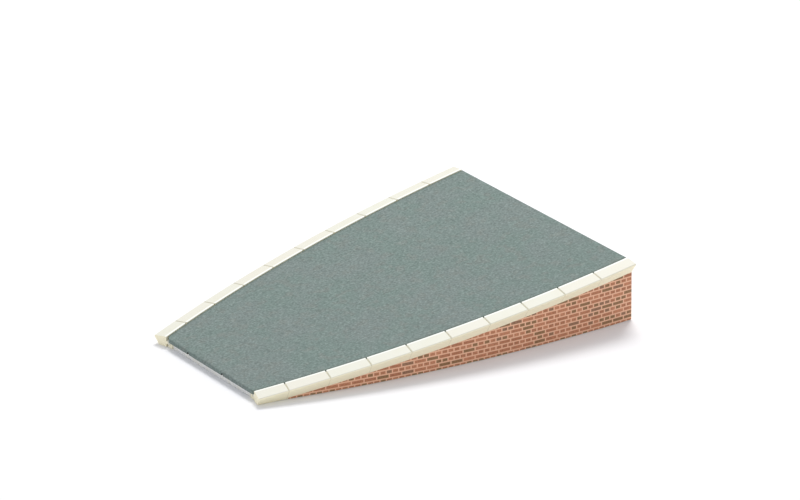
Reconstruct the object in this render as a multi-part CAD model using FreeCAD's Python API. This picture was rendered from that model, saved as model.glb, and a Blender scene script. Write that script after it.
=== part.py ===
import FreeCAD, Part
import math
import os

# A ramp end for a model-railway platform, in millimetres.
# +X points to the tall end, which butts against a platform; -X points to the toe.  -Y is the front side, +Z is up.
# The origin is under the middle of the whole object, on the ground.
# "run" is the distance from the tall end towards the toe, measured along X.
# "out" is the distance outwards from the coping's inner edge, square to that edge in plan.
# "drop" is the distance down from the coping's inner edge.

# Plan and slope of the coping's inner edge
deck_length = 89.8
tall_half_width = 30.8
edge_radius = 330.0
tall_heading = math.radians(0.73)
tall_height = 14.47
toe_height = 2.41

# Cross-section of the edging moulding
nose_reach = 3.31
nose_drop = 0.46
nose_lip = 0.3
nose_depth = 2.96
nose_hollow = 0.08
inner_round = 0.16
nose_round = 0.16
brick_face_out = 1.78
facing_thickness = 0.15
facing_glue_gap = 0.02
ledge_width = 1.2
ledge_thickness = 0.6
below_ground = 1.0

# Grooves between the coping slabs, spaced along the inner edge in plan
first_slab = 9.22
slab_pitch = 9.39
groove_count = 9
groove_half_width = 0.14
groove_depth = 0.2
nose_groove_depth = 0.1
notch_half_width = 0.3
notch_depth = 0.45
notch_drop = 0.8

# Deck panel
deck_thickness = 0.92
deck_below_coping = 0.18
deck_side_gap = 0.12
toe_corner_cut = 0.9
toe_notch_places = (8.5, -4.8)
toe_notch_width = 0.55
toe_notch_depth = 1.0
toe_notch_height = 0.5
toe_edge_round = 0.35
deck_edge_round = 0.12

# Brick facing
facing_ground_gap = 0.12
facing_end_run = 83.0

# Cross ribs, spine and end pieces
end_wall_thickness = 1.5
rib_runs = {"upper_rib": 23.0, "middle_rib": 45.0, "lower_rib": 67.0}
rib_thickness = 1.2
rib_ground_gap = 0.4
fit_gap = 0.05
guide_size = 0.8
spine_thickness = 1.2
toe_bar_back_run = 85.6
toe_bar_front_run = 89.2
toe_lug_front_run = 89.5
toe_lug_width = 1.7
toe_slit = 0.25

# Worked out from the above
slope = (tall_height - toe_height) / deck_length
seat_drop = deck_below_coping + deck_thickness
ledge_drop = seat_drop + ledge_thickness
wall_out = brick_face_out - facing_thickness - facing_glue_gap
section_count = 14
tall_overrun = 1.0
far = 200.0


def heading_at(run):
    """Angle between the coping's inner edge and the centreline."""
    return math.asin(run / edge_radius + math.sin(tall_heading))


def half_width_at(run):
    """Centreline to the coping's inner edge."""
    return tall_half_width - edge_radius * (math.cos(tall_heading) - math.cos(heading_at(run)))


def height_at(run):
    """Ground to the coping's inner edge."""
    return tall_height - slope * run


toe_heading = heading_at(deck_length)
tall_x = (deck_length + nose_reach * math.sin(toe_heading)) / 2.0


def point(side, run, out, height, along=0.0):
    """A point given by its place beside the edge; side is -1 at the front and 1 at the rear."""
    heading = heading_at(run)
    x = tall_x - run - out * math.sin(heading) - along * math.cos(heading)
    y = half_width_at(run) + out * math.cos(heading) - along * math.sin(heading)
    return FreeCAD.Vector(x, side * y, height)


def box_between(low, high):
    """An upright block between two corners."""
    size = [high[i] - low[i] for i in range(3)]
    return Part.makeBox(size[0], size[1], size[2], FreeCAD.Vector(*low))


def run_block(start_run, end_run, half_width, low, high):
    """A block across the ramp between two runs and two heights."""
    return box_between((tall_x - end_run, -half_width, low), (tall_x - start_run, half_width, high))


def below_plane(drop):
    """Everything under the sloping plane that lies "drop" below the coping's inner edges."""
    start = -10.0
    end = deck_length + 10.0
    corners = [
        FreeCAD.Vector(tall_x - start, -far, height_at(start) - drop),
        FreeCAD.Vector(tall_x - end, -far, height_at(end) - drop),
        FreeCAD.Vector(tall_x - end, -far, -far),
        FreeCAD.Vector(tall_x - start, -far, -far),
    ]
    face = Part.Face(Part.makePolygon(corners + corners[:1]))
    return face.extrude(FreeCAD.Vector(0, 2 * far, 0))


def between_edges(inset, low, high):
    """The space between the two inner edges, pulled in by "inset" and run past both ends."""
    start_run = -tall_overrun
    end_run = deck_length + tall_overrun
    edges = []
    corners = {}
    for side in (-1, 1):
        start = point(side, start_run, -inset, low)
        middle = point(side, deck_length / 2.0, -inset, low)
        end = point(side, end_run, -inset, low)
        edges.append(Part.Arc(start, middle, end).toShape())
        corners[side] = (start, end)
    edges.append(Part.makeLine(corners[-1][0], corners[1][0]))
    edges.append(Part.makeLine(corners[-1][1], corners[1][1]))
    outline = Part.Wire(Part.sortEdges(edges)[0])
    return Part.Face(outline).extrude(FreeCAD.Vector(0, 0, high - low))


def section_runs(start, end):
    """Evenly spaced places along the edge for the sections of a loft."""
    step = (end - start) / (section_count - 1)
    return [start + step * index for index in range(section_count)]


def edging_section(side, run):
    """The moulding's outline at one place: coping, nose, wall and ledge."""
    top = height_at(run)

    def at(out, drop):
        return point(side, run, out, top - drop)

    fall = nose_drop / nose_reach
    corner = 1.0 - math.sqrt(0.5)
    ground = top + below_ground
    inner_low = at(0, inner_round)
    inner_mid = at(corner * inner_round, corner * (inner_round + fall * inner_round))
    inner_high = at(inner_round, fall * inner_round)
    nose_high = at(nose_reach - nose_round, nose_drop - fall * nose_round)
    nose_mid = at(nose_reach - corner * nose_round, nose_drop + corner * nose_round * (1 - fall))
    nose_low = at(nose_reach, nose_drop + nose_round)
    lip = at(nose_reach, nose_drop + nose_lip)
    hollow_out = (nose_reach + brick_face_out) / 2.0 - nose_hollow
    hollow = at(hollow_out, (nose_drop + nose_lip + nose_depth) / 2.0)
    foot = at(brick_face_out, nose_depth)
    straight = [
        foot,
        at(wall_out, nose_depth),
        at(wall_out, ground),
        at(0, ground),
        at(0, ledge_drop),
        at(-ledge_width, ledge_drop),
        at(-ledge_width, seat_drop),
        at(0, seat_drop),
        inner_low,
    ]
    edges = [
        Part.Arc(inner_low, inner_mid, inner_high).toShape(),
        Part.makeLine(inner_high, nose_high),
        Part.Arc(nose_high, nose_mid, nose_low).toShape(),
        Part.makeLine(nose_low, lip),
        Part.Arc(lip, hollow, foot).toShape(),
    ]
    edges += [Part.makeLine(a, b) for a, b in zip(straight, straight[1:])]
    return Part.Wire(edges)


def groove_run(index):
    """Run of the groove after slab number "index"."""
    heading = tall_heading + (first_slab + slab_pitch * index) / edge_radius
    return edge_radius * (math.sin(heading) - math.sin(tall_heading))


def groove_cutters(side, run):
    """The V across the top, the V down the nose and the notch at the inner edge of one slab joint."""
    top = height_at(run)
    reach = nose_reach + 2 * notch_depth
    spread = 2 * groove_half_width
    lift = groove_depth
    across = point(side, run, reach, -nose_drop * reach / nose_reach) - point(side, run, 0, 0)
    start = -notch_depth
    valley = [
        point(side, run, start, top + lift, -spread),
        point(side, run, start, top + lift, spread),
        point(side, run, start, top - groove_depth),
    ]
    nose = [
        point(side, run, nose_reach + nose_groove_depth, top - nose_depth, -spread),
        point(side, run, nose_reach + nose_groove_depth, top - nose_depth, spread),
        point(side, run, nose_reach - nose_groove_depth, top - nose_depth),
    ]
    notch = [
        point(side, run, -notch_depth, top - notch_drop, -2 * notch_half_width),
        point(side, run, -notch_depth, top - notch_drop, 2 * notch_half_width),
        point(side, run, notch_depth, top - notch_drop),
    ]
    rise = FreeCAD.Vector(0, 0, nose_depth + lift)
    lengths = (across, rise, rise)
    outlines = (valley, nose, notch)
    return [prism(outline, length) for outline, length in zip(outlines, lengths)]


def prism(corners, direction):
    """A closed polygon pushed along a direction."""
    return Part.Face(Part.makePolygon(corners + corners[:1])).extrude(direction)


def rib_guides(side, run):
    """Two upright bars on the wall's inner face, one each side of a rib's end."""
    bars = []
    for direction in (-1, 1):
        near = run + direction * (rib_thickness / 2.0 + fit_gap)
        reach = near + direction * guide_size
        wall_y = half_width_at(max(near, reach))
        corners = [
            FreeCAD.Vector(tall_x - near, side * (wall_y - guide_size), rib_ground_gap),
            FreeCAD.Vector(tall_x - reach, side * (wall_y - guide_size), rib_ground_gap),
            FreeCAD.Vector(tall_x - reach, side * (half_width_at(reach) + wall_out / 2.0), rib_ground_gap),
            FreeCAD.Vector(tall_x - near, side * (half_width_at(near) + wall_out / 2.0), rib_ground_gap),
        ]
        bar = prism(corners, FreeCAD.Vector(0, 0, tall_height))
        bars.append(bar.common(below_plane(ledge_drop - ledge_thickness / 2.0)))
    return bars


def edging(side):
    """Coping, nose, wall and deck ledge of one side, in one moulding."""
    sections = [edging_section(side, run) for run in section_runs(-tall_overrun, deck_length)]
    body = Part.makeLoft(sections, True, False)
    guides = []
    for run in rib_runs.values():
        guides += rib_guides(side, run)
    body = body.fuse(guides)
    cutters = [
        box_between((tall_x, -far, -far), (tall_x + far, far, far)),
        box_between((-far, -far, -far), (far, far, 0.0)),
    ]
    for index in range(groove_count):
        cutters += groove_cutters(side, groove_run(index))
    return body.cut(cutters)


def brick_facing(side):
    """The thin brick sheet stuck on the outside of one wall."""
    inner = brick_face_out - facing_thickness
    sections = []
    for run in section_runs(-tall_overrun, facing_end_run):
        top = height_at(run) - nose_depth - facing_glue_gap
        corners = [
            point(side, run, inner, facing_ground_gap),
            point(side, run, brick_face_out, facing_ground_gap),
            point(side, run, brick_face_out, top),
            point(side, run, inner, top),
        ]
        sections.append(Part.makePolygon(corners + corners[:1]))
    sheet = Part.makeLoft(sections, True, False)
    return sheet.cut(box_between((tall_x, -far, -far), (tall_x + far, far, far)))


def deck_panel():
    """The sloping panel between the copings, with a rounded toe, cut corners and two nicks underneath."""
    panel = run_block(0.0, deck_length, far, 0.0, tall_height)
    panel = panel.common(between_edges(deck_side_gap, 0.0, tall_height))
    panel = panel.common(below_plane(deck_below_coping))
    panel = panel.cut(below_plane(seat_drop))
    panel = panel.makeFillet(toe_edge_round, [edge for edge in panel.Edges if is_toe_top_edge(edge)])
    toe_x = tall_x - deck_length
    toe_y = half_width_at(deck_length) - deck_side_gap
    cutters = []
    for side in (-1, 1):
        corners = [
            FreeCAD.Vector(toe_x, side * (toe_y - toe_corner_cut), 0),
            FreeCAD.Vector(toe_x + toe_corner_cut, side * (toe_y + toe_corner_cut / 2.0), 0),
            FreeCAD.Vector(toe_x - toe_corner_cut, side * (toe_y + toe_corner_cut), 0),
        ]
        cutters.append(prism(corners, FreeCAD.Vector(0, 0, tall_height)))
    for y in toe_notch_places:
        low = (toe_x - toe_notch_depth, y - toe_notch_width / 2.0, 0.0)
        high = (toe_x + toe_notch_depth, y + toe_notch_width / 2.0, toe_height - seat_drop + toe_notch_height)
        cutters.append(box_between(low, high))
    panel = panel.cut(cutters)
    top_edges = [edge for edge in panel.Edges if is_long_top_edge(edge)]
    return panel.makeFillet(deck_edge_round, top_edges)


def is_toe_top_edge(edge):
    """Whether an edge of the deck is the top one of its toe face."""
    middle = edge.valueAt((edge.FirstParameter + edge.LastParameter) / 2.0)
    at_toe = abs(middle.x - (tall_x - deck_length)) < fit_gap
    return at_toe and abs(middle.z - (toe_height - deck_below_coping)) < fit_gap


def is_long_top_edge(edge):
    """Whether an edge of the deck is one of the two long sides of its top face."""
    long_enough = edge.Length > deck_length / 2.0 and edge.BoundBox.XLength > deck_length / 2.0
    middle = edge.valueAt((edge.FirstParameter + edge.LastParameter) / 2.0)
    surface = height_at(tall_x - middle.x) - deck_below_coping
    return long_enough and abs(middle.z - surface) < fit_gap


def cross_plate(start_run, end_run, side_gap, ground_gap):
    """An upright plate from wall to wall, notched under the deck ledges."""
    plate = run_block(start_run, end_run, far, ground_gap, tall_height)
    full = plate.common(between_edges(side_gap, 0.0, tall_height))
    ledge_clear = ledge_width + 2 * fit_gap
    middle = full.common(between_edges(ledge_clear, 0.0, tall_height)).common(below_plane(seat_drop))
    ends = full.common(below_plane(ledge_drop + 2 * fit_gap))
    return ends.fuse(middle).removeSplitter()


def tall_end_wall():
    """The cross wall that butts against the platform."""
    return cross_plate(0.0, end_wall_thickness, fit_gap, 0.0)


def spine_slot(run, low, high):
    """The halving slot where the spine and a rib cross."""
    half = rib_thickness / 2.0 + fit_gap
    return run_block(run - half, run + half, half, low, high)


def crossing_height(run):
    """Height at which a rib's slot meets the spine's slot."""
    return (height_at(run) - seat_drop + rib_ground_gap) / 2.0


def rib(run):
    """A cross rib with a slot from below for the spine."""
    half = rib_thickness / 2.0
    plate = cross_plate(run - half, run + half, fit_gap, rib_ground_gap)
    return plate.cut(spine_slot(run, -1.0, crossing_height(run) + fit_gap))


def centre_spine():
    """The lengthwise rib, slotted from above to drop over the cross ribs."""
    start = end_wall_thickness + fit_gap
    end = toe_bar_back_run - fit_gap
    spine = run_block(start, end, spine_thickness / 2.0, rib_ground_gap, tall_height)
    spine = spine.common(below_plane(seat_drop))
    slots = [spine_slot(run, crossing_height(run), tall_height) for run in rib_runs.values()]
    return spine.cut(slots)


def toe_bar():
    """The low bar under the toe, with a lug at each end that reaches under the deck's corner."""
    bar = cross_plate(toe_bar_back_run, toe_lug_front_run, toe_slit, 0.0)
    lug_start = half_width_at(toe_lug_front_run) - toe_slit - toe_lug_width
    return bar.cut(run_block(toe_bar_front_run, deck_length, lug_start, -1.0, tall_height))


def write(name, shape):
    """Check one piece and write it."""
    solids = shape.Solids
    if len(solids) != 1 or not solids[0].isValid():
        raise ValueError(name + " is not one valid solid")
    solid = solids[0]
    solid.exportStep("parts/" + name + ".step")
    box = solid.BoundBox
    spans = ["%.2f..%.2f" % span for span in
             ((box.XMin, box.XMax), (box.YMin, box.YMax), (box.ZMin, box.ZMax))]
    print(name, "volume %.1f" % solid.Volume, *spans)


os.makedirs("parts", exist_ok=True)
write("deck_panel", deck_panel())
write("front_edging", edging(-1))
write("rear_edging", edging(1))
write("front_brick_facing", brick_facing(-1))
write("rear_brick_facing", brick_facing(1))
write("tall_end_wall", tall_end_wall())
for rib_name, rib_run in rib_runs.items():
    write(rib_name, rib(rib_run))
write("centre_spine", centre_spine())
write("toe_bar", toe_bar())
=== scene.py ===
import math

import bmesh
import bpy
from mathutils import Matrix, Vector


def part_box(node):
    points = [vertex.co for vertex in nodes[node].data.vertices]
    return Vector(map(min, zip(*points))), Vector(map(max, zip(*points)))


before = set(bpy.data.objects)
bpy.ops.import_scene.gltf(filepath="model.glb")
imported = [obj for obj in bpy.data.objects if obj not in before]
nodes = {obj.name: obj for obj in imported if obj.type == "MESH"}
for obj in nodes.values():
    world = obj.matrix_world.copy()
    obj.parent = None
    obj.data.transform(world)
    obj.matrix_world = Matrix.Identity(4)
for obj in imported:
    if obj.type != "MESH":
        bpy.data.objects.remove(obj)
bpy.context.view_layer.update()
print("frame loaded:", len(nodes), "pieces")

mm = 0.001

# plan of the coping's inner edge, which the slabs, the brickwork and the deck's painted rim shade all
# follow
edgePlan = {
    "radius": 330.0 * mm,
    "tallHalfWidth": 30.8 * mm,
    "tallHeading": math.radians(0.73),
    "brickFaceOut": 1.78 * mm,      # printed face, outwards from the inner edge
}
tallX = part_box("tall_end_wall")[1].x
circleX = tallX + edgePlan["radius"] * math.sin(edgePlan["tallHeading"])
circleY = edgePlan["tallHalfWidth"] - edgePlan["radius"] * math.cos(edgePlan["tallHeading"])


def newFinish(name, look):
    mat = bpy.data.materials.new(name)
    mat.use_nodes = True
    shader = mat.node_tree.nodes["Principled BSDF"]
    shader.inputs["Roughness"].default_value = look["roughness"]
    shader.inputs["Specular IOR Level"].default_value = look["specular"]
    return mat, mat.node_tree, shader


def plug(tree, value, socket):
    # a number sets the socket, anything else is wired to it
    if isinstance(value, (int, float)):
        socket.default_value = value
    else:
        tree.links.new(value, socket)


def calc(tree, operation, *values):
    node = tree.nodes.new("ShaderNodeMath")
    node.operation = operation
    for value, socket in zip(values, node.inputs):
        plug(tree, value, socket)
    return node.outputs[0]


def fade(tree, value, band, outLow=0.0, outHigh=1.0):
    # eases from outLow to outHigh as the value goes from one end of the band to the other
    node = tree.nodes.new("ShaderNodeMapRange")
    node.interpolation_type = "SMOOTHSTEP"
    plug(tree, value, node.inputs["Value"])
    node.inputs["From Min"].default_value = band[0]
    node.inputs["From Max"].default_value = band[1]
    node.inputs["To Min"].default_value = outLow
    node.inputs["To Max"].default_value = outHigh
    return node.outputs["Result"]


def blendColours(tree, amount, first, second, mode="MIX"):
    node = tree.nodes.new("ShaderNodeMix")
    node.data_type = "RGBA"
    node.blend_type = mode
    plug(tree, amount, node.inputs["Factor"])
    for colour, socket in ((first, node.inputs["A"]), (second, node.inputs["B"])):
        if isinstance(colour, tuple):
            socket.default_value = (*colour, 1.0)
        else:
            tree.links.new(colour, socket)
    return node.outputs["Result"]


def noise(tree, place, size, detail=2.0, rough=0.5, swirl=0.0):
    node = tree.nodes.new("ShaderNodeTexNoise")
    tree.links.new(place, node.inputs["Vector"])
    node.inputs["Scale"].default_value = 1.0 / size
    node.inputs["Detail"].default_value = detail
    node.inputs["Roughness"].default_value = rough
    node.inputs["Distortion"].default_value = swirl
    return node.outputs["Fac"]


def bump(tree, height, depth):
    node = tree.nodes.new("ShaderNodeBump")
    node.inputs["Distance"].default_value = depth
    tree.links.new(height, node.inputs["Height"])
    return node.outputs["Normal"]


def objectPlace(tree):
    return tree.nodes.new("ShaderNodeTexCoord").outputs["Object"]


def splitPlace(tree, place):
    split = tree.nodes.new("ShaderNodeSeparateXYZ")
    tree.links.new(place, split.inputs[0])
    return split.outputs


def edgePlace(tree, place):
    # how far along the inner edge from the tall end, how far outwards from it, and which side
    x, y, z = splitPlace(tree, place)
    back = calc(tree, "SUBTRACT", circleX, x)
    across = calc(tree, "SUBTRACT", calc(tree, "ABSOLUTE", y), circleY)
    reach = calc(tree, "SQRT", calc(tree, "ADD", calc(tree, "MULTIPLY", back, back),
                                    calc(tree, "MULTIPLY", across, across)))
    turned = calc(tree, "SUBTRACT", calc(tree, "ARCTAN2", back, across), edgePlan["tallHeading"])
    return {
        "along": calc(tree, "MULTIPLY", turned, edgePlan["radius"]),
        "out": calc(tree, "SUBTRACT", reach, edgePlan["radius"]),
        "side": calc(tree, "SIGN", y),
        "y": y,
        "z": z,
    }


def randomOf(tree, *numbers):
    join = tree.nodes.new("ShaderNodeCombineXYZ")
    for number, socket in zip(numbers, join.inputs):
        plug(tree, number, socket)
    dice = tree.nodes.new("ShaderNodeTexWhiteNoise")
    dice.noise_dimensions = "3D"
    tree.links.new(join.outputs[0], dice.inputs["Vector"])
    parts = tree.nodes.new("ShaderNodeSeparateColor")
    tree.links.new(dice.outputs["Color"], parts.inputs[0])
    return parts.outputs


def greyOf(tree, value):
    node = tree.nodes.new("ShaderNodeCombineColor")
    for socket in node.inputs:
        tree.links.new(value, socket)
    return node.outputs[0]


deckLook = {
    "grey": (0.172, 0.227, 0.206),
    "cool": (0.188, 0.228, 0.215),
    "coolNoise": {"size": 9.0 * mm, "detail": 3.0},
    "coolBand": (0.35, 0.65),
    "warm": (0.193, 0.220, 0.201),
    "warmNoise": {"size": 2.4 * mm},
    "warmBand": (0.5, 0.68),
    "warmShare": 0.7,
    "grainNoise": {"size": 0.50 * mm, "rough": 0.6},
    "grainDark": (0.070, 0.098, 0.086),
    "darkBand": (0.52, 0.30),
    "grainLight": (0.330, 0.400, 0.368),
    "lightBand": (0.50, 0.74),
    "speckShare": 0.42,
    "gritNoise": {"size": 0.36 * mm, "rough": 0.7},
    "gritDepth": 0.07 * mm,
    "rimShade": (0.085, 0.112, 0.086),
    "rimShadeBand": (-0.95 * mm, -0.1 * mm),      # painted shade along the copings, where the deck meets them
    "rimShadeShare": 0.65,
    "nickPlaces": (8.5 * mm, -4.8 * mm),     # the two nicks low in the toe face, painted near-black there
    "nickBand": (0.38 * mm, 0.32 * mm),
    "nickTopBand": (1.85 * mm, 1.79 * mm),
    "nickDark": (0.022, 0.024, 0.020),
    "roughness": 0.9,
    "specular": 0.25,
}


def deckFinish():
    look = deckLook
    mat, tree, shader = newFinish("sandedGreyDeck", look)
    place = objectPlace(tree)
    edge = edgePlace(tree, place)
    cool = fade(tree, noise(tree, place, **look["coolNoise"]), look["coolBand"])
    base = blendColours(tree, cool, look["grey"], look["cool"])
    warm = fade(tree, noise(tree, place, **look["warmNoise"]), look["warmBand"], 0.0, look["warmShare"])
    base = blendColours(tree, warm, base, look["warm"])
    grain = noise(tree, place, **look["grainNoise"])
    dark = fade(tree, grain, look["darkBand"], 0.0, look["speckShare"])
    base = blendColours(tree, dark, base, look["grainDark"])
    light = fade(tree, grain, look["lightBand"], 0.0, look["speckShare"])
    base = blendColours(tree, light, base, look["grainLight"])
    # painted shade on the deck along the copings
    rimShade = fade(tree, edge["out"], look["rimShadeBand"], 0.0, look["rimShadeShare"])
    base = blendColours(tree, rimShade, base, look["rimShade"])
    low = fade(tree, edge["z"], look["nickTopBand"])
    # near-black paint at the two nicks, low in the toe face
    for nickPlace in look["nickPlaces"]:
        away = calc(tree, "ABSOLUTE", calc(tree, "SUBTRACT", edge["y"], nickPlace))
        nickDarkening = calc(tree, "MULTIPLY", fade(tree, away, look["nickBand"]), low)
        base = blendColours(tree, nickDarkening, base, look["nickDark"])
    tree.links.new(base, shader.inputs["Base Color"])
    grit = noise(tree, place, **look["gritNoise"])
    tree.links.new(bump(tree, grit, look["gritDepth"]), shader.inputs["Normal"])
    return mat


copingLook = {
    "cream": (0.690, 0.680, 0.572),
    "pale": (0.699, 0.699, 0.604),
    "mottleNoise": {"size": 4.0 * mm, "detail": 3.0},
    "mottleBand": (0.3, 0.7),
    "pinkish": (0.715, 0.678, 0.583),
    "pinkShare": 0.55,
    "tintSeed": 3.0,
    "nose": (0.93, 0.865, 0.635),            # painted warm bounce light: upright faces are painted yellower than the tops
    "noseShare": 1.0,
    # share of painted warm bounce light on the end wall, ribs and lugs
    "sideBounceShare": 0.8,
    "upwardBand": (0.3, 0.7),
    "arrisHighlight": (0.86, 0.87, 0.81),
    "arrisHighlightBand": (0.65 * mm, 0.325 * mm),   # painted highlight along the inner edge's arris
    "copingBand": (-0.6 * mm, -0.3 * mm),    # outwards of this is coping, inwards is ledge
    "firstSlab": 9.22 * mm,
    "slabPitch": 9.39 * mm,
    "jointDirt": (0.42, 0.38, 0.27),
    "jointBand": (0.16 * mm, 0.048 * mm),
    "jointShare": 0.24,
    "grainNoise": {"size": 0.5 * mm, "detail": 3.0, "rough": 0.6},
    "grainDepth": 0.004 * mm,
    "roughness": 0.55,
    "specular": 0.5,
}


def creamBase(tree, place):
    look = copingLook
    mottle = fade(tree, noise(tree, place, **look["mottleNoise"]), look["mottleBand"])
    return blendColours(tree, mottle, look["cream"], look["pale"])


# cream with the painted warm bounce light of upright faces mixed in
def creamWithBounce(tree, place):
    return blendColours(tree, copingLook["sideBounceShare"], creamBase(tree, place), copingLook["nose"])


def copingFinish():
    look = copingLook
    mat, tree, shader = newFinish("mouldedCream", look)
    place = objectPlace(tree)
    edge = edgePlace(tree, place)
    slab = calc(tree, "DIVIDE", calc(tree, "SUBTRACT", edge["along"], look["firstSlab"]), look["slabPitch"])
    dice = randomOf(tree, calc(tree, "FLOOR", slab), edge["side"], look["tintSeed"])
    pink = calc(tree, "MULTIPLY", dice[0], look["pinkShare"])
    base = blendColours(tree, pink, creamBase(tree, place), look["pinkish"])
    onCoping = fade(tree, edge["out"], look["copingBand"])
    facing = splitPlace(tree, tree.nodes.new("ShaderNodeNewGeometry").outputs["Normal"])
    upward = fade(tree, facing["Z"], look["upwardBand"])
    # painted warm bounce light on the coping faces that don't face up
    bounceOnNose = calc(tree, "MULTIPLY", onCoping, calc(tree, "SUBTRACT", 1.0, upward))
    base = blendColours(tree, calc(tree, "MULTIPLY", bounceOnNose, look["noseShare"]), base, look["nose"])
    # painted highlight on the top, along the coping's inner arris
    arrisHighlight = calc(tree, "MULTIPLY", onCoping, upward)
    arrisHighlight = calc(tree, "MULTIPLY", arrisHighlight, fade(tree, edge["out"], look["arrisHighlightBand"]))
    base = blendColours(tree, arrisHighlight, base, look["arrisHighlight"])
    toJoint = calc(tree, "ABSOLUTE", calc(tree, "SUBTRACT", slab, calc(tree, "ROUND", slab)))
    jointBand = [width / look["slabPitch"] for width in look["jointBand"]]
    joint = calc(tree, "MULTIPLY", fade(tree, toJoint, jointBand, 0.0, look["jointShare"]), onCoping)
    tree.links.new(blendColours(tree, joint, base, look["jointDirt"]), shader.inputs["Base Color"])
    grain = noise(tree, place, **look["grainNoise"])
    tree.links.new(bump(tree, grain, look["grainDepth"]), shader.inputs["Normal"])
    return mat


toeBarLook = {
    # painted shadow tone: the bar's middle is pale neutral grey to match the shadow under the deck's toe
    "grey": (0.85, 0.85, 0.84),
    "lugBand": (15.0 * mm, 15.4 * mm),       # the cream lugs start here, measured from the centreline
    "dustNoise": {"size": 1.5 * mm, "detail": 3.0},
    "dustBand": (0.3, 0.7),
    "dustShare": 0.3,
    "dustDepth": 0.01 * mm,
    "roughness": 0.6,
    "specular": 0.3,
}


def toeBarFinish():
    look = toeBarLook
    mat, tree, shader = newFinish("paleGreyToeBar", look)
    place = objectPlace(tree)
    fromMiddle = calc(tree, "ABSOLUTE", splitPlace(tree, place)["Y"])
    lug = fade(tree, fromMiddle, look["lugBand"])
    dust = noise(tree, place, **look["dustNoise"])
    dusty = fade(tree, dust, look["dustBand"], 0.0, look["dustShare"])
    cream = creamWithBounce(tree, place)
    # painted shadow tone in the middle, cream lugs at the ends
    grey = blendColours(tree, dusty, look["grey"], cream)
    tree.links.new(blendColours(tree, lug, grey, cream), shader.inputs["Base Color"])
    tree.links.new(bump(tree, dust, look["dustDepth"]), shader.inputs["Normal"])
    return mat


ribLook = {
    "shade": (0.82, 0.775, 0.62),
    "shadeShare": 0.5,
    "flowNoise": {"size": 2.2 * mm, "detail": 3.0, "swirl": 1.2},
    "flowBand": (0.3, 0.7),
    "flowDepth": 0.02 * mm,
    "roughness": 0.5,
    "specular": 0.5,
}


def ribFinish():
    look = ribLook
    mat, tree, shader = newFinish("mouldedCreamUnderside", look)
    place = objectPlace(tree)
    flow = noise(tree, place, **look["flowNoise"])
    shade = fade(tree, flow, look["flowBand"], 0.0, look["shadeShare"])
    base = blendColours(tree, shade, creamWithBounce(tree, place), look["shade"])
    tree.links.new(base, shader.inputs["Base Color"])
    tree.links.new(bump(tree, flow, look["flowDepth"]), shader.inputs["Normal"])
    return mat


brickLook = {
    "course": 0.984 * mm,
    "bedHeight": 0.67,              # first bed joint above the ground; this and the next six are in courses
    "firstStretcher": 2.25,         # first upright joint from the tall end
    "stretcher": 3.0,
    "header": 1.5,
    "headerShift": 0.73,
    "jointBand": (0.105, 0.205),
    "wobble": 0.08,
    "bondRows": 2.0,                # a stretcher row, then a header row
    "mortar": (0.82, 0.475, 0.308),
    "clay": (0.418, 0.168, 0.088),
    "clayPale": (0.540, 0.226, 0.122),
    "brown": (0.285, 0.157, 0.075),
    "plum": (0.294, 0.158, 0.092),
    "brownShare": 0.26,
    "plumShare": 0.05,
    "inkNoise": {"size": 0.3 * mm, "detail": 3.0, "rough": 0.6},
    "inkBand": (0.3, 0.7),
    "inkTone": (0.82, 1.16),
    "paper": (0.78, 0.72, 0.62),    # the sheet's edges and back
    "faceBand": (1.74 * mm, 1.76 * mm),
    "roughness": 0.6,
    "specular": 0.3,
}


def toNearestEnd(tree, share):
    return calc(tree, "MINIMUM", share, calc(tree, "SUBTRACT", 1.0, share))


def brickFinish():
    look = brickLook
    mat, tree, shader = newFinish("printedBrickPaper", look)
    place = objectPlace(tree)
    edge = edgePlace(tree, place)
    # distances along the inner edge, stretched to the printed face and started at the tall end
    wallRadius = edgePlan["radius"] + edgePlan["brickFaceOut"]
    startAngle = math.asin((circleX - tallX) / wallRadius)
    lead = (edgePlan["tallHeading"] - startAngle) * wallRadius
    wallAlong = calc(tree, "MULTIPLY_ADD", edge["along"], wallRadius / edgePlan["radius"], lead)
    coursesAlong = calc(tree, "DIVIDE", wallAlong, look["course"])
    coursesUp = calc(tree, "SUBTRACT", calc(tree, "DIVIDE", edge["z"], look["course"]), look["bedHeight"])
    # which brick this is
    row = calc(tree, "FLOOR", coursesUp)
    isHeader = calc(tree, "FLOORED_MODULO", row, look["bondRows"])
    length = calc(tree, "MULTIPLY_ADD", isHeader, look["header"] - look["stretcher"], look["stretcher"])
    start = calc(tree, "MULTIPLY_ADD", isHeader, look["headerShift"], look["firstStretcher"])
    bricksAlong = calc(tree, "DIVIDE", calc(tree, "SUBTRACT", coursesAlong, start), length)
    column = calc(tree, "FLOOR", bricksAlong)
    # how deep inside the brick, past its mortar
    toBed = toNearestEnd(tree, calc(tree, "FRACT", coursesUp))
    toSide = calc(tree, "MULTIPLY", toNearestEnd(tree, calc(tree, "FRACT", bricksAlong)), length)
    ink = noise(tree, place, **look["inkNoise"])
    wobble = calc(tree, "MULTIPLY_ADD", ink, look["wobble"], -look["wobble"] / 2)
    depth = calc(tree, "ADD", calc(tree, "MINIMUM", toBed, toSide), wobble)
    inBrick = fade(tree, depth, look["jointBand"])
    dice = randomOf(tree, column, row, edge["side"])
    clay = blendColours(tree, dice[0], look["clay"], look["clayPale"])
    isBrown = calc(tree, "LESS_THAN", dice[1], look["brownShare"])
    clay = blendColours(tree, isBrown, clay, look["brown"])
    isPlum = calc(tree, "GREATER_THAN", dice[1], 1.0 - look["plumShare"])
    clay = blendColours(tree, isPlum, clay, look["plum"])
    tone = fade(tree, ink, look["inkBand"], *look["inkTone"])
    clay = blendColours(tree, 1.0, clay, greyOf(tree, tone), "MULTIPLY")
    printed = blendColours(tree, inBrick, look["mortar"], clay)
    onFace = fade(tree, edge["out"], look["faceBand"])
    tree.links.new(blendColours(tree, onFace, look["paper"], printed), shader.inputs["Base Color"])
    return mat


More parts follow.
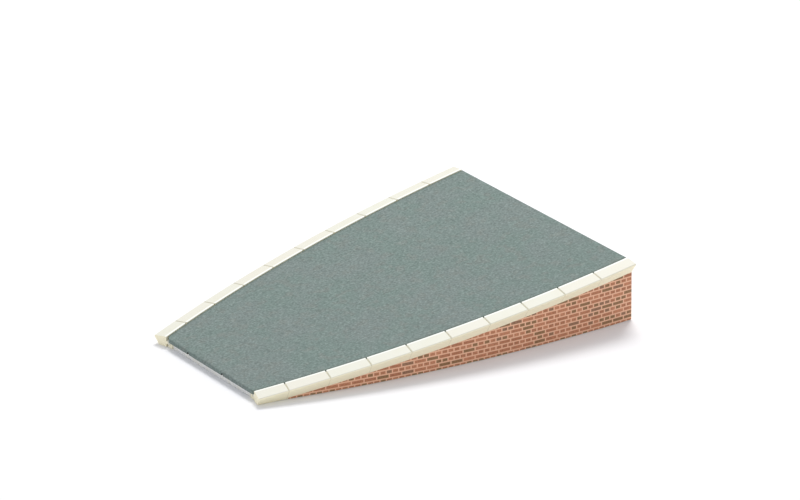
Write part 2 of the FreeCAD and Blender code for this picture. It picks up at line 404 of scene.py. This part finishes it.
finishes = {
    "deck_panel": deckFinish(),
    "front_edging": copingFinish(),
    "front_brick_facing": brickFinish(),
    "tall_end_wall": ribFinish(),
    "toe_bar": toeBarFinish(),
}
finishes["rear_edging"] = finishes["front_edging"]
finishes["rear_brick_facing"] = finishes["front_brick_facing"]
for ribName in ("upper_rib", "middle_rib", "lower_rib", "centre_spine"):
    finishes[ribName] = finishes["tall_end_wall"]
for nodeName, finish in finishes.items():
    nodes[nodeName].data.materials.clear()
    nodes[nodeName].data.materials.append(finish)
print("finishes on:", len(finishes))


studio = {
    "floorSize": 3.0,
    "floorDrop": 0.02 * mm,
    "floorColour": (0.845, 0.845, 0.855),
    "roughness": 0.9,
    "specular": 0.0,
    "skyColour": (0.935, 0.952, 1.0),
    "skyStrength": 0.78,
    "keySize": 0.42,
    "keyPower": 7.9,
    "keyColour": (1.0, 0.985, 0.96),
    "keyPlace": (0.42, 0.42, 0.92),
}


def makeFloor():
    mesh = bpy.data.meshes.new("floor")
    bm = bmesh.new()
    bmesh.ops.create_grid(bm, x_segments=1, y_segments=1, size=studio["floorSize"],
                          matrix=Matrix.Translation((0, 0, -studio["floorDrop"])))
    bm.to_mesh(mesh)
    bm.free()
    floor = bpy.data.objects.new("floor", mesh)
    bpy.context.scene.collection.objects.link(floor)
    mat, tree, shader = newFinish("paleFloor", studio)
    shader.inputs["Base Color"].default_value = (*studio["floorColour"], 1.0)
    mesh.materials.append(mat)


def makeLight():
    world = bpy.data.worlds.new("softRoom")
    world.use_nodes = True
    sky = world.node_tree.nodes["Background"]
    sky.inputs["Color"].default_value = (*studio["skyColour"], 1.0)
    sky.inputs["Strength"].default_value = studio["skyStrength"]
    bpy.context.scene.world = world
    lamp = bpy.data.lights.new("softbox", "AREA")
    lamp.size = studio["keySize"]
    lamp.energy = studio["keyPower"]
    lamp.color = studio["keyColour"]
    key = bpy.data.objects.new("softbox", lamp)
    key.location = studio["keyPlace"]
    key.rotation_euler = (-Vector(studio["keyPlace"])).to_track_quat("-Z", "Y").to_euler()
    bpy.context.scene.collection.objects.link(key)


shot = {
    "aim": (21.391 * mm, 21.547 * mm, 3.973 * mm),
    "distance": 1185.73 * mm,
    "azimuth": 35.168,
    "elevation": 23.946,
    "roll": -0.712,
    "lens": 236.85,
}


def makeCamera():
    turn = Matrix.Rotation(-math.radians(shot["azimuth"]), 4, "Z")
    tip = Matrix.Rotation(math.radians(90.0 - shot["elevation"]), 4, "X")
    roll = Matrix.Rotation(math.radians(shot["roll"]), 4, "Z")
    aimed = turn @ tip
    back = aimed.to_3x3() @ Vector((0, 0, shot["distance"]))
    camera = bpy.data.objects.new("camera", bpy.data.cameras.new("camera"))
    camera.matrix_world = Matrix.Translation(Vector(shot["aim"]) + back) @ aimed @ roll
    camera.data.lens = shot["lens"]
    bpy.context.scene.collection.objects.link(camera)
    bpy.context.scene.camera = camera


makeFloor()
makeLight()
makeCamera()
bpy.context.scene.view_settings.view_transform = "Standard"
print("studio ready")
